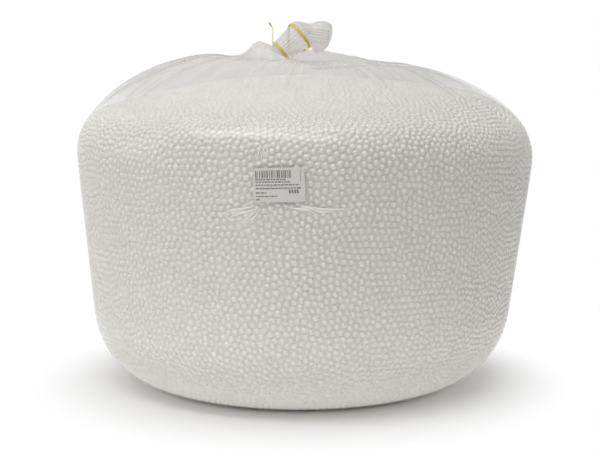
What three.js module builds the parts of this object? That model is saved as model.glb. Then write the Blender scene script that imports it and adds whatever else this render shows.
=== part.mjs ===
// Bag of polystyrene beads: a clear film sack stands on its flat foot, packed with beads up to the shoulder.
// Above the heap the film is gathered in pleats to a leaning neck, closed by a wire tie, and ends in a tuft.
// The frame has +Z up and its origin at the middle of the foot. -Y is the front, where the label sits.
import * as THREE from "three";

// Body of the filled sack, in millimetres.
const FOOT_RADIUS = 120; // flat round patch that the sack stands on
const HEEL_RADIUS = 190; // where the rounded heel runs into the wall
const HEEL_HEIGHT = 74;
const BODY_RADIUS = 204; // widest, where the wall runs into the shoulder
const WALL_TOP = 206;
const CROWN_RADIUS = 84; // where the shoulder ends and the gathers begin
const SHOULDER_RISE = 88; // from the wall's top to the crown
const SHOULDER_FULLNESS = 0.47; // share of the shoulder's rise and run that its bends take
const BODY_LEAN = 4.5; // sideways shift of the body at the wall's top
const TOP_TILT = 1.1; // degrees by which the top slopes down towards +X
const FRONT_TILT = 9.5; // degrees by which the crown slopes down towards the front
const TILT_BLEND = 60; // distance within which that slope runs out behind the middle
const SIDE_SAG = 6; // further drop of the slack shoulder on the +X side
const DENT = 1.6; // soft unevenness of the packed body

// Film.
const FILM_WALL = 0.1;
const CLEARANCE = 0.3; // gap between pieces that touch
const PLEATS = 24;
const CROWN_PLEAT = 4; // depth of the pleats at the crown
const NECK_PLEAT = 6; // and in the tied neck
const PLEAT_WANDER = 0.05; // radians by which the pleats stray from an even spacing

// Gathers between the crown and the neck.
const GATHER_REACH = 0.5; // share of the way to the middle at which the film starts to rise
const GATHER_LIFT = 26; // pull of the film up behind the neck
const LIFT_TURN = 11; // degrees from straight behind, towards the lean
const GATHER_DIP = 8; // and down on the side that the neck leans from
const GATHER_TURN = 11; // length along the neck in which the film bends up into it
const FLANK_SWELL = 20; // swelling of the film beside the tie, on the side that the neck leans from
const UNDER_SWELL = 10; // and under the lean

// Neck, leaning towards +X, and the tuft above it.
const NECK_RADIUS = 9.8; // at the tie's lower turn
const UPPER_RADIUS = 13.2; // and at its upper turn
const NECK_OFFSET = -18; // sideways place of the tie's lower turn
const NECK_RISE = 3.5; // height of the lower turn above the crown
const NECK_LEAN = 50; // degrees from upright
const NECK_RECLINE = 9; // degrees by which it also leans back
const TURN_GAP = 23; // between the two turns, along the neck
const BAND_MARGIN = 1.7; // straight neck left beyond the tie's edges
const TUFT_LENGTH = 29;
const TUFT_RADIUS = 12;
const TUFT_OPENING = 0.3; // share of its length within which it comes to that radius
const TUFT_WAIST = 1.6; // how far it draws in half way along
const TUFT_DROOP = 9.5; // how far its slack underside hangs
const TUFT_LEAN = 100; // degrees from upright at its end
const TUFT_KNEE = 0.2; // share of its length at which it bends over
const TUFT_PLEAT = 1.5; // depth of the pleats at its mouth
const MOUTH_RADIUS = 5.5;
const MOUTH_BEND = 6; // how late the tuft draws in to its mouth: higher is later

// Bead fill.
const HEAP_DROP = 16; // top of the heap below the crown
const HEAP_RIM = 0.2; // share of the shoulder up to which the beads press against the film
const HEAP_BEND = 30; // length over which the mound goes on along the film
const HEAP_FLAT = 120; // radius within which it is nearly level
const HEAP_TILT = 2.5; // degrees by which it is higher towards +X
const HEAP_GAP = 3; // least gap between the mound and the free film

// Wire tie: a flat coated strip with a ridge over its wire.
const TIE_WIDTH = 2.6;
const TIE_THICKNESS = 0.9;
const TIE_RIDGE = 1.1; // width of the ridge
const TAIL_RISE = 13; // the free end stands up from the lower turn
const TAIL_TIP = 5.5; // and its tip bends aside
const HOOK_LENGTH = 6; // the other end is bent back along the neck

// Label.
const LABEL_WIDTH = 38;
const LABEL_HEIGHT = 25;
const LABEL_THICKNESS = 0.15;
const LABEL_DROP = 20; // middle of the label below the wall's top
const LABEL_ANGLE = -95.5; // degrees round the body; -90 is the middle of the front
const LABEL_ROLL = 2.5; // degrees anticlockwise

// Mesh fineness.
const WALL_SIDES = 2 * PLEATS;
const PLEAT_SIDES = 4 * PLEATS;
const HEEL_STEPS = 5;
const WALL_STEPS = 4;
const SHOULDER_STEPS = 5;
const HEAP_STEPS = 5;
const GATHER_STEPS = 8;
const TUFT_STEPS = 6;
const TURN_STEPS = 24;
const LABEL_COLUMNS = 8;
const LABEL_ROWS = 4;

const radians = THREE.MathUtils.degToRad;
const { lerp, smoothstep } = THREE.MathUtils;
const crownHeight = WALL_TOP + SHOULDER_RISE;
const heapHeight = crownHeight - HEAP_DROP;
const labelHeight = WALL_TOP - LABEL_DROP;

// Meridian of the body: x is the radius and y is the height.
const heel = new THREE.EllipseCurve(
  FOOT_RADIUS, HEEL_HEIGHT, HEEL_RADIUS - FOOT_RADIUS, HEEL_HEIGHT, -Math.PI / 2, 0,
);
const wall = new THREE.LineCurve(
  new THREE.Vector2(HEEL_RADIUS, HEEL_HEIGHT),
  new THREE.Vector2(BODY_RADIUS, WALL_TOP),
);
const shoulder = new THREE.CubicBezierCurve(
  new THREE.Vector2(BODY_RADIUS, WALL_TOP),
  new THREE.Vector2(BODY_RADIUS, lerp(WALL_TOP, crownHeight, SHOULDER_FULLNESS)),
  new THREE.Vector2(lerp(CROWN_RADIUS, BODY_RADIUS, SHOULDER_FULLNESS), crownHeight),
  new THREE.Vector2(CROWN_RADIUS, crownHeight),
);

// Meridian of the bead mound: it goes on along the film from the rim, and then levels off.
const heapRim = shoulder.getPoint(HEAP_RIM);
const mound = new THREE.CubicBezierCurve(
  heapRim,
  heapRim.clone().addScaledVector(shoulder.getTangent(HEAP_RIM), HEAP_BEND),
  new THREE.Vector2(HEAP_FLAT, heapHeight),
  new THREE.Vector2(0, heapHeight),
);

// Angle of corner i of a ring. Every ring strays in the same way, so that rings of any count line up.
function ringAngle(i, count) {
  const even = (2 * Math.PI * i) / count;
  return even + PLEAT_WANDER * Math.sin(3 * even + 0.7);
}

// A repeatable number from 0 to 1 for each pleat.
function pleatChance(pleat) {
  const spread = Math.sin(12.9898 * (pleat + 1)) * 43758.5453;
  return spread - Math.floor(spread);
}

// How deep corner i lies in its pleat: 0 on the crest and 1 in the fold.
function pleatShare(i, count) {
  const perPleat = count / PLEATS;
  return 0.5 - 0.5 * Math.cos((2 * Math.PI * (i % perPleat)) / perPleat);
}

// A point of the body at a radius and height of the meridian, with its dents, lean, tilted top and sagging side.
function bodyPoint(angle, radius, height) {
  const swell = smoothstep(height, 0, WALL_TOP);
  const crowning = smoothstep(height, WALL_TOP, crownHeight);
  const waves = Math.sin(2 * angle + 0.6) + 0.6 * Math.sin(5 * angle + 2.1);
  const dented = radius * (1 + (DENT * swell * waves) / BODY_RADIUS);
  const x = dented * Math.cos(angle);
  const y = dented * Math.sin(angle);
  const forward = (Math.hypot(y, TILT_BLEND) - TILT_BLEND - y) / 2;
  const tilt = swell * x * Math.tan(radians(TOP_TILT)) + crowning * forward * Math.tan(radians(FRONT_TILT));
  const sideways = smoothstep(radius, 0, CROWN_RADIUS) * Math.max(0, Math.cos(angle)) ** 4;
  const drop = tilt + crowning ** 3 * SIDE_SAG * sideways;
  return new THREE.Vector3(x + (BODY_LEAN * height) / WALL_TOP, y, height - drop);
}

// A ring of the body, pushed in along the meridian's normal by depthAt(i).
function bodyRing(curve, t, count, depthAt = () => 0) {
  const point = curve.getPoint(t);
  const tangent = curve.getTangent(t);
  return Array.from({ length: count }, (_, i) => {
    const depth = depthAt(i);
    return bodyPoint(ringAngle(i, count), point.x - depth * tangent.y, point.y + depth * tangent.x);
  });
}

// Axes of a neck section that leans from upright towards +X, and back by the neck's own recline.
function leaningAxes(lean) {
  const recline = radians(NECK_RECLINE);
  const level = Math.cos(recline);
  const along = new THREE.Vector3(level * Math.sin(lean), Math.sin(recline), level * Math.cos(lean));
  const side = new THREE.Vector3(Math.cos(lean), 0, -Math.sin(lean));
  return { along, side, back: new THREE.Vector3().crossVectors(along, side) };
}

// A ring round a centre in a leaning plane. Each corner has its own radius.
function leaningRing(centre, lean, count, radiusAt) {
  const { side, back } = leaningAxes(lean);
  return Array.from({ length: count }, (_, i) => {
    const angle = ringAngle(i, count);
    const radius = radiusAt(i, angle);
    return centre
      .clone()
      .addScaledVector(side, radius * Math.cos(angle))
      .addScaledVector(back, radius * Math.sin(angle));
  });
}

// Spine of the neck and tuft. The neck widens from the lower turn to the upper one.
const neckLean = radians(NECK_LEAN);
const neckAxes = leaningAxes(neckLean);
const lowerTurn = new THREE.Vector3(NECK_OFFSET, 0, crownHeight + NECK_RISE);
const bandOverhang = TIE_WIDTH / 2 + BAND_MARGIN;
const bandStart = lowerTurn.clone().addScaledVector(neckAxes.along, -bandOverhang);
const bandEnd = lowerTurn.clone().addScaledVector(neckAxes.along, TURN_GAP + bandOverhang);
const bandSlope = (UPPER_RADIUS - NECK_RADIUS) / TURN_GAP;
const bandRadius = (along) => NECK_RADIUS + bandSlope * along;
const crownCentre = new THREE.Vector3((BODY_LEAN * crownHeight) / WALL_TOP, 0, crownHeight);
const tuftKnee = bandEnd.clone().addScaledVector(neckAxes.along, TUFT_KNEE * TUFT_LENGTH);
const tuftSpine = new THREE.QuadraticBezierCurve3(
  bandEnd,
  tuftKnee,
  tuftKnee.clone().addScaledVector(leaningAxes(radians(TUFT_LEAN)).along, (1 - TUFT_KNEE) * TUFT_LENGTH),
);

// Pleats of the shoulder reach down unevenly: each has its own rate of fading out.
function shoulderDepth(t, count) {
  return (i) => {
    const fade = 1 + 2 * pleatChance(Math.floor((i * PLEATS) / count));
    return CROWN_PLEAT * t ** fade * pleatShare(i, count);
  };
}

function bandRing(along) {
  const centre = lowerTurn.clone().addScaledVector(neckAxes.along, along);
  const radiusAt = (i) => bandRadius(along) - NECK_PLEAT * pleatShare(i, PLEAT_SIDES);
  return leaningRing(centre, neckLean, PLEAT_SIDES, radiusAt);
}

const crownRing = bodyRing(shoulder, 1, PLEAT_SIDES, shoulderDepth(1, PLEAT_SIDES));
const neckRing = bandRing(-bandOverhang);

// From the crown each line of the film runs in to the middle, swells beside the tie and bends up into the neck.
function gatherRing(t) {
  return crownRing.map((crown, i) => {
    const neck = neckRing[i];
    const outward = neck.clone().sub(bandStart).normalize();
    const angle = ringAngle(i, PLEAT_SIDES);
    const under = 0.5 + 0.5 * Math.cos(angle);
    const rise = crown.clone().lerp(crownCentre, GATHER_REACH);
    const behind = Math.max(0, Math.sin(angle + radians(LIFT_TURN)));
    rise.z += GATHER_LIFT * behind ** 4 - GATHER_DIP * (1 - under) ** 2;
    const turn = neck
      .clone()
      .addScaledVector(neckAxes.along, -GATHER_TURN)
      .addScaledVector(outward, lerp(FLANK_SWELL, UNDER_SWELL, under));
    return new THREE.CubicBezierCurve3(crown, rise, turn, neck).getPoint(t);
  });
}

// The tuft bends over above the tie. It has a slight waist, its slack underside droops, and it draws in at its mouth.
function tuftRing(t) {
  const start = bandRadius(TURN_GAP + bandOverhang);
  const bulge = Math.sin(Math.PI * t);
  const full = lerp(start, TUFT_RADIUS, smoothstep(t, 0, TUFT_OPENING)) - TUFT_WAIST * bulge ** 2;
  const closing = t ** MOUTH_BEND;
  const envelope = full * Math.sqrt(1 - closing) + MOUTH_RADIUS * closing;
  const depth = lerp(NECK_PLEAT, TUFT_PLEAT, Math.sqrt(t));
  return leaningRing(
    tuftSpine.getPoint(t), lerp(neckLean, radians(TUFT_LEAN), t), PLEAT_SIDES,
    (i, angle) => {
      const droop = TUFT_DROOP * bulge * Math.max(0, Math.cos(angle)) ** 3;
      return envelope + droop - depth * pleatShare(i, PLEAT_SIDES);
    },
  );
}

// Triangles between neighbouring rings. The next ring has as many corners, twice as many, or just one.
function stitch(counts) {
  const faces = [];
  let base = 0;
  for (let k = 0; k + 1 < counts.length; k++) {
    const [n, m] = [counts[k], counts[k + 1]];
    const low = (i) => base + (i % n);
    const high = (i) => base + n + (i % m);
    for (let i = 0; i < Math.max(n, m); i++) {
      if (n === 1) faces.push(low(0), high(i + 1), high(i));
      else if (m === 1) faces.push(low(i), low(i + 1), high(0));
      else if (m === n) faces.push(low(i), low(i + 1), high(i + 1), low(i), high(i + 1), high(i));
      else if (i % 2 === 0) faces.push(low(i / 2), high(i + 1), high(i));
      else faces.push(low((i - 1) / 2), low((i + 1) / 2), high(i), low((i + 1) / 2), high(i + 1), high(i));
    }
    base += n;
  }
  return faces;
}

function geometryOf(points, faces) {
  const geometry = new THREE.BufferGeometry().setFromPoints(points).setIndex(faces);
  geometry.computeVertexNormals();
  return geometry;
}

// The same points moved inwards along their surface's normals.
function insetPoints(points, faces, distance) {
  const normals = geometryOf(points, faces).getAttribute("normal");
  return points.map((point, i) => {
    const normal = new THREE.Vector3().fromBufferAttribute(normals, i);
    return point.clone().addScaledVector(normal, -distance);
  });
}

// The sack's outer skin, from the middle of the foot to the mouth.
function filmRings() {
  const rings = [[new THREE.Vector3()]];
  for (let i = 0; i <= HEEL_STEPS; i++) rings.push(bodyRing(heel, i / HEEL_STEPS, WALL_SIDES));
  for (let i = 1; i <= WALL_STEPS; i++) rings.push(bodyRing(wall, i / WALL_STEPS, WALL_SIDES));
  for (let i = 1; i <= SHOULDER_STEPS; i++) {
    const t = i / SHOULDER_STEPS;
    rings.push(bodyRing(shoulder, t, PLEAT_SIDES, shoulderDepth(t, PLEAT_SIDES)));
  }
  for (let i = 1; i <= GATHER_STEPS; i++) rings.push(gatherRing(i / GATHER_STEPS));
  rings.push(bandRing(TURN_GAP + bandOverhang));
  for (let i = 1; i <= TUFT_STEPS; i++) rings.push(tuftRing(i / TUFT_STEPS));
  return rings;
}

// A sack of even wall: the outer skin, the inner skin facing in, and the rim of the mouth between them.
function filmGeometry() {
  const rings = filmRings();
  const counts = rings.map((ring) => ring.length);
  const outer = rings.flat();
  const outerFaces = stitch(counts);
  const inner = insetPoints(outer, outerFaces, FILM_WALL);
  const innerFaces = outerFaces.map((corner) => corner + outer.length).reverse();
  const rimStart = outer.length - PLEAT_SIDES;
  const rimFaces = [];
  for (let i = 0; i < PLEAT_SIDES; i++) {
    const a = rimStart + i;
    const b = rimStart + ((i + 1) % PLEAT_SIDES);
    rimFaces.push(a, b, b + outer.length, a, b + outer.length, a + outer.length);
  }
  return geometryOf([...outer, ...inner], [...outerFaces, ...innerFaces, ...rimFaces]);
}

// Height of the film's facets over the shoulder at a radius.
function filmHeight(radius) {
  const rings = Array.from({ length: SHOULDER_STEPS + 1 }, (_, i) => shoulder.getPoint(i / SHOULDER_STEPS));
  const upper = Math.max(1, rings.findIndex((ring) => ring.x <= radius));
  const [low, high] = [rings[upper - 1], rings[upper]];
  return lerp(low.y, high.y, (low.x - radius) / (low.x - high.x));
}

// A ring of the mound, raised on one side and kept clear of the film.
function moundRing(t) {
  const { x: radius, y: height } = mound.getPoint(t);
  const roof = radius > CROWN_RADIUS ? filmHeight(radius) - HEAP_GAP : crownHeight;
  return Array.from({ length: WALL_SIDES }, (_, i) => {
    const angle = ringAngle(i, WALL_SIDES);
    const rise = radius * Math.cos(angle) * Math.tan(radians(HEAP_TILT));
    return bodyPoint(angle, radius, Math.min(height + rise, roof));
  });
}

// The packed beads follow the film's inside up to their rim, clear of its pleats, and end in a low mound.
function fillGeometry() {
  const rings = [[new THREE.Vector3()]];
  for (let i = 0; i <= HEEL_STEPS; i++) rings.push(bodyRing(heel, i / HEEL_STEPS, WALL_SIDES));
  for (let i = 1; i <= WALL_STEPS; i++) rings.push(bodyRing(wall, i / WALL_STEPS, WALL_SIDES));
  const rimSteps = Math.max(1, Math.round(SHOULDER_STEPS * HEAP_RIM));
  for (let i = 1; i <= rimSteps; i++) {
    const t = (HEAP_RIM * i) / rimSteps;
    rings.push(bodyRing(shoulder, t, WALL_SIDES, () => CROWN_PLEAT * t));
  }
  for (let i = 1; i < HEAP_STEPS; i++) rings.push(moundRing(i / HEAP_STEPS));
  rings.push([bodyPoint(0, 0, heapHeight)]);
  const points = rings.flat();
  const faces = stitch(rings.map((ring) => ring.length));
  return geometryOf(insetPoints(points, faces, FILM_WALL + CLEARANCE), faces);
}

// A point on the tie's path round the neck: the angle from the leaning side, and the place along the neck.
function onBand(angle, along) {
  const { side, back } = neckAxes;
  const radius = bandRadius(along) + CLEARANCE + (TIE_THICKNESS + bandSlope * TIE_WIDTH) / 2;
  return lowerTurn
    .clone()
    .addScaledVector(neckAxes.along, along)
    .addScaledVector(side, radius * Math.cos(angle))
    .addScaledVector(back, radius * Math.sin(angle));
}

// Tail, lower turn, crossing behind the neck, upper turn and the end that is bent back along the neck.
function tiePath() {
  const turnStart = -Math.PI;
  const turnEnd = 2 * Math.PI;
  const steps = Math.round((TURN_STEPS * (turnEnd - turnStart)) / (2 * Math.PI));
  const turns = Array.from({ length: steps + 1 }, (_, i) => {
    const angle = lerp(turnStart, turnEnd, i / steps);
    return onBand(angle, TURN_GAP * smoothstep(angle, 0, Math.PI));
  });
  const root = turns[0];
  const tail = [
    root.clone().add(new THREE.Vector3(-0.6 * TAIL_TIP, 0, TAIL_RISE + TAIL_TIP)),
    root.clone().add(new THREE.Vector3(0.1 * TAIL_TIP, 0, TAIL_RISE)),
    root.clone().add(new THREE.Vector3(0, 0, TAIL_RISE / 2)),
  ];
  const hook = [0.35, 0.7, 1].map((t) => onBand(
    turnEnd + 0.25 * Math.sin(Math.PI * t) - 0.3 * t * t,
    TURN_GAP - HOOK_LENGTH * t,
  ));
  return [...tail, ...turns, ...hook];
}

// A flat strip swept along the path, with its flat side facing the neck.
function tieGeometry() {
  const path = tiePath();
  const half = TIE_WIDTH / 2;
  const section = [
    [-half, -TIE_THICKNESS / 2], [half, -TIE_THICKNESS / 2], [half, 0],
    [TIE_RIDGE / 2, TIE_THICKNESS / 2], [-TIE_RIDGE / 2, TIE_THICKNESS / 2], [-half, 0],
  ];
  const rings = path.map((point, k) => {
    const next = path[Math.min(k + 1, path.length - 1)];
    const tangent = next.clone().sub(path[Math.max(k - 1, 0)]).normalize();
    const fromAxis = point.clone().sub(lowerTurn);
    fromAxis.addScaledVector(neckAxes.along, -fromAxis.dot(neckAxes.along));
    const outward = fromAxis.addScaledVector(tangent, -fromAxis.dot(tangent)).normalize();
    const across = new THREE.Vector3().crossVectors(outward, tangent);
    return section.map(([w, n]) => point.clone().addScaledVector(across, w).addScaledVector(outward, n));
  });
  const counts = [1, ...rings.map((ring) => ring.length), 1];
  return geometryOf([path[0], ...rings.flat(), path.at(-1)], stitch(counts));
}

// A thin sheet bent to the wall that it sticks to.
function labelGeometry() {
  const middle = radians(LABEL_ANGLE);
  const roll = radians(LABEL_ROLL);
  const sheet = (offset) => {
    const points = [];
    for (let row = 0; row <= LABEL_ROWS; row++) {
      for (let column = 0; column <= LABEL_COLUMNS; column++) {
        const across = LABEL_WIDTH * (column / LABEL_COLUMNS - 0.5);
        const up = LABEL_HEIGHT * (row / LABEL_ROWS - 0.5);
        const height = labelHeight + up * Math.cos(roll) + across * Math.sin(roll);
        const radius = wall.getPoint((height - HEEL_HEIGHT) / (WALL_TOP - HEEL_HEIGHT)).x + offset;
        const angle = middle + (across * Math.cos(roll) - up * Math.sin(roll)) / radius;
        points.push(bodyPoint(angle, radius, height));
      }
    }
    return points;
  };
  const back = sheet(CLEARANCE);
  const front = sheet(CLEARANCE + LABEL_THICKNESS);
  const stride = LABEL_COLUMNS + 1;
  const faces = [];
  for (let row = 0; row < LABEL_ROWS; row++) {
    for (let column = 0; column < LABEL_COLUMNS; column++) {
      const a = row * stride + column;
      const quad = [a, a + 1, a + stride + 1, a, a + stride + 1, a + stride];
      faces.push(...quad.map((corner) => corner + back.length), ...quad.reverse());
    }
  }
  const edge = [];
  for (let column = 0; column < LABEL_COLUMNS; column++) edge.push(column);
  for (let row = 0; row < LABEL_ROWS; row++) edge.push(row * stride + LABEL_COLUMNS);
  for (let column = LABEL_COLUMNS; column > 0; column--) edge.push(LABEL_ROWS * stride + column);
  for (let row = LABEL_ROWS; row > 0; row--) edge.push(row * stride);
  edge.forEach((a, i) => {
    const b = edge[(i + 1) % edge.length];
    faces.push(a, b, b + back.length, a, b + back.length, a + back.length);
  });
  return geometryOf([...back, ...front], faces);
}

const film = new THREE.MeshStandardMaterial({
  color: 0xe6e4de, roughness: 0.25, metalness: 0, transparent: true, opacity: 0.35,
});
const beads = new THREE.MeshStandardMaterial({ color: 0xefede8, roughness: 0.85, metalness: 0 });
const tie = new THREE.MeshStandardMaterial({ color: 0xd2b02e, roughness: 0.45, metalness: 0 });
const paper = new THREE.MeshStandardMaterial({ color: 0xe4e2dc, roughness: 0.6, metalness: 0 });

function named(name, geometry, material) {
  const mesh = new THREE.Mesh(geometry, material);
  mesh.name = name;
  return mesh;
}

const bag = new THREE.Group();
bag.add(
  named("film_bag", filmGeometry(), film),
  named("bead_fill", fillGeometry(), beads),
  named("neck_tie", tieGeometry(), tie),
  named("label", labelGeometry(), paper),
);

export default bag;
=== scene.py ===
"""Bag of polystyrene beads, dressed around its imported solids.

A sack of clear film stands on its foot, packed with white foam beads that show through it. Each bead on the
outside of the heap is a small closed body, and the film takes their bumps wherever they press against it.
Above the heap the film is free: it has sharp creases, and is gathered in pleats to a leaning neck with a
wire tie.
Sizes are in metres. The frame has +Z up, its origin at the middle of the foot, and -Y as the front.
"""
import math

import bpy
import numpy as np
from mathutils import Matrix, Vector
from mathutils.geometry import delaunay_2d_cdt

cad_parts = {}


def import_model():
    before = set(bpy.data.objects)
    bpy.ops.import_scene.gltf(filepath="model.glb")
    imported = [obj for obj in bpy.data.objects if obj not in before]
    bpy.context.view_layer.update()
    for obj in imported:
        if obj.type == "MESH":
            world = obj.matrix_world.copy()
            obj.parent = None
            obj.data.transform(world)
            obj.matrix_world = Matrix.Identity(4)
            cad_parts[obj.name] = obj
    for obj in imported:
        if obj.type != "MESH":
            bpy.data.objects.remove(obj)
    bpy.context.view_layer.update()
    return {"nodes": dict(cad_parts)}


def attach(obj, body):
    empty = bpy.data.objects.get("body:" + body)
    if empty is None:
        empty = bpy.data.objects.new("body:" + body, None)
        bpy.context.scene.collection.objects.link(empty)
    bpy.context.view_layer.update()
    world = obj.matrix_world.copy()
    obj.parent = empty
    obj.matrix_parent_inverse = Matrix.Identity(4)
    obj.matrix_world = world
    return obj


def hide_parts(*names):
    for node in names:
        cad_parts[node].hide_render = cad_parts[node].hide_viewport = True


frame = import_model()
chance = np.random.default_rng(7)

# Body of the sack.
FOOT_RADIUS = 0.120
HEEL_RADIUS = 0.190
HEEL_HEIGHT = 0.074
BODY_RADIUS = 0.204
WALL_TOP = 0.206
CROWN_RADIUS = 0.084
CROWN_HEIGHT = 0.294
SHOULDER_FULLNESS = 0.47
BODY_LEAN = 0.0045
TOP_TILT = math.radians(1.1)  # slope of the top down towards +X
FRONT_TILT = math.radians(9.5)  # slope of the crown down towards the front
TILT_BLEND = 0.060  # distance within which that slope runs out behind the middle
SIDE_SAG = 0.006  # further drop of the slack shoulder on the +X side
DENT = 0.0016
DENT_WAVES = ((1, 2, 0.6), (0.6, 5, 2.1))  # share, number round the body and phase of each set of dents
MERIDIAN_STEPS = 600
CORNER_REACH = 30  # steps of the meridian over which its corners are rounded off
SHOULDER_SAMPLES = 80
POLE_SPREAD = 1.2  # where the flattened surface ends, as a multiple of its last ring's radius

# Beads.
BEAD_PITCH = 0.0057
BEAD_FILL = 1.03  # bead size as a share of the pitch
BEAD_SPREAD = 0.07  # how much the beads differ in size
BEAD_STRAY = 0.31  # how far they start from even places, as a share of the pitch
FIRST_RING = 0.3  # place of the innermost ring, in steps from the middle of the foot
RING_TURN = 7  # range of the rings' start angles, a little over a full turn
SIZE_LIMIT = 2.2  # largest departure in size, in standard deviations
BEAD_MARGIN = 0.001  # least distance of a bead from the two ends of the meridian
BEAD_ROOM = 1.04  # distance that neighbours keep, as a share of the pitch
SETTLE_ROUNDS = 7
PUSH_STEPS = 6  # pushes in a round
PUSH_SHARE = 0.22  # share of an overlap that one push undoes for each bead
BEAD_PATCH = 0.4  # size of a bead's patch on its map, as a share of the pitch
HEAP_RIM = 0.20  # share of the shoulder up to which the beads press against the film
HEAP_TOP = 0.278
HEAP_BEND = 0.030  # how far the mound still rises along the film above the rim
HEAP_FLAT = 0.120  # radius within which the mound is nearly level
HEAP_TILT = math.radians(2.5)  # the mound is higher towards +X
HEAP_TILT_REACH = 0.06  # distance above the rim within which that tilt comes in
DOME_GAP = 0.003  # least gap between the mound and the film above it
FILM_GAP = 0.00015  # between a bead's top and the film
DIMPLE = 0.00008  # how far the film dips between beads
DIMPLE_SPREAD = (0.2, 1.8)  # least and most of that depth
FOOT_CALM = 0.04  # distance past the flat foot within which the dips come in
RIM_CALM = 0.05  # distance below the rim within which they run out
RIM_MARGIN = 0.45  # room for the rim's own ring, as a share of the pitch
CORE_DEPTH = 0.0018  # packed mass below the film

# Film above the heap: creases, gathers, neck and tuft.
COLUMNS = 384
CREASES = 56
CREASE_HEIGHT = 0.0010
CREASE_WIDTH = 0.0009
CREASE_SLANT = 0.3  # how far they run sideways, as a share of their spacing
CREASE_REACH = (0.1, 0.8)  # where on the shoulder they end below
CREASE_FADE = 0.2  # share of the shoulder within which a crease comes up
PINCH_FADE = 0.3  # and within which it draws in its neighbours
PLEATS = 24
PLEAT_WANDER = 0.05
PLEAT_LEAST = 0.3  # depth of the shallowest pleat, as a share of the deepest
CROWN_PLEAT = 0.002
NECK_PLEAT = 0.0005
GATHER_REACH = 0.5  # share of the way to the middle at which the film starts to rise
GATHER_LIFT = 0.026  # pull of the film up behind the neck
LIFT_TURN = math.radians(11)  # from straight behind, towards the lean
GATHER_DIP = 0.008  # pull of the film down on the side that the neck leans from
GATHER_TURN = 0.011  # length along the neck in which the film bends up into it
FLANK_SWELL = 0.028  # swelling of the film beside the tie, on the side that the neck leans from
UNDER_SWELL = 0.010  # and under the lean
NECK_RADIUS = 0.0098  # at the tie's lower turn
UPPER_RADIUS = 0.0132  # and at its upper turn
NECK_OFFSET = -0.018
NECK_RISE = 0.0035
NECK_LEAN = math.radians(50)
NECK_RECLINE = math.radians(9)
TURN_GAP = 0.023
BAND_OVERHANG = 0.003
TUFT_LENGTH = 0.029
TUFT_RADIUS = 0.012
TUFT_OPENING = 0.3  # share of its length within which it comes to that radius
TUFT_WAIST = 0.0016
TUFT_DROOP = 0.0095
TUFT_LEAN = math.radians(100)
TUFT_KNEE = 0.2
TUFT_DIP = 0.0022  # hollow across its upper side, between two lobes
TUFT_DIP_PLACE = 0.5  # share of its length at which that hollow is deepest
TUFT_DIP_WIDTH = 0.16
TUFT_PLEAT = 0.0004
MOUTH_RADIUS = 0.0055
MOUTH_BEND = 6  # how late the tuft draws in to its mouth
SHOULDER_RINGS = 40
GATHER_RINGS = 30
BAND_RINGS = 10
TUFT_RINGS = 26

# How much the film hides: clear where it lies on the beads, hazy where it is free or folded.
WALL_HAZE = 0.17
SIDE_HAZE = 0.06  # added on the sides, where the film lies less tightly
HEEL_HAZE = 0.30
HEEL_REACH = (0.14, 0.21)  # distances from the middle of the foot between which that haze runs out
DOME_HAZE = 0.32
CROWN_HAZE = 0.46
NECK_HAZE = 0.60
TUFT_HAZE = 0.72
CREASE_HAZE_AND_HIGHLIGHT = 0.38  # added on the creases, whitening them: partly folded film, partly a painted highlight along each crease
SLACK_START = -0.01  # distance above the rim at which the film starts to hang free
SLACK_END = (0.07, 0.15)  # and where it is all free, on most sides and on the clear side
CLEAR_ANGLE = math.radians(-25)  # middle of the clear side, where the heap comes close under the dome
CROWN_START = 0.7  # share of the shoulder at which the film turns to the crown's haze
NECK_START = 0.6  # share of the gathers at which it has the neck's
TUFT_START = 0.3  # share of the tuft at which it has the tuft's
PLIES = 2  # further plies, where the slack film is folded on itself
PLY_HAZE = 0.30
PLY_GAP = 0.001
PLY_START = 0.015  # distance above the rim at which they start
PLY_END = (0.1, 0.5)  # shares of the gathers between which they run out
PLY_RINGS = (4, 58)  # rings of the free film that they lie under
GATHERED_RING = 56  # first ring of the free film that is folded too closely to shine
HEEL_PLY = (0.14, 0.22)  # reach, along the meridian, of the ply round the heel
HEEL_PLY_FADE = 0.05
FILM_MAP = 0.6  # share of the film's round map that the part on the beads takes

# Wire tie.
TIE_WIDTH = 0.0026
TIE_THICKNESS = 0.0009
TIE_CLEARANCE = 0.0003
TIE_EDGE = 0.45  # thickness at its edges, as a share of that over the wire
WIRE_SHARE = 0.3  # width of the wire's ridge, as a share of the strip's
TAIL_RISE = 0.013
TAIL_TIP = 0.0055
HOOK_LENGTH = 0.006

# Label and its print, in its own axes: across to the right and up.
LABEL_MIDDLE = 0.186
LABEL_ANGLE = math.radians(-95.5)
LABEL_ROLL = math.radians(2.5)
LABEL_FACE = 0.00045  # its face above the film
PRINT_THICKNESS = 0.00005
PRINT_LEFT = -0.0172
BAR_UNIT = 0.00033  # width of the thinnest bar
BARS_RIGHT = 0.0080
BAR_ENDS = (0.0051, 0.0107)
STROKE_HEIGHT = 0.0009
STROKE_WIDTHS = (0.0008, 0.0030)
STROKE_GAP = 0.0006
STROKE_ROWS = (  # right end and height of each row
    (0.0050, 0.0040), (0.0085, 0.0022), (0.0150, 0.0000), (0.0160, -0.0024), (-0.0095, -0.0056),
    (-0.0010, -0.0082), (-0.0140, -0.0104),
)
BLOCKS = 4  # taller marks in a row, low on the right
BLOCK_LEFT = 0.0072
BLOCK_STEP = 0.0019
BLOCK_WIDTH = 0.0013
BLOCK_ENDS = (-0.0062, -0.0036)
EDGE_MARKS = 6  # small marks one above the other, near the right edge
EDGE_SIDES = (0.0155, 0.0160)
EDGE_LOW = 0.0024
EDGE_STEP = 0.0015
EDGE_HEIGHT = 0.0010

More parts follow.
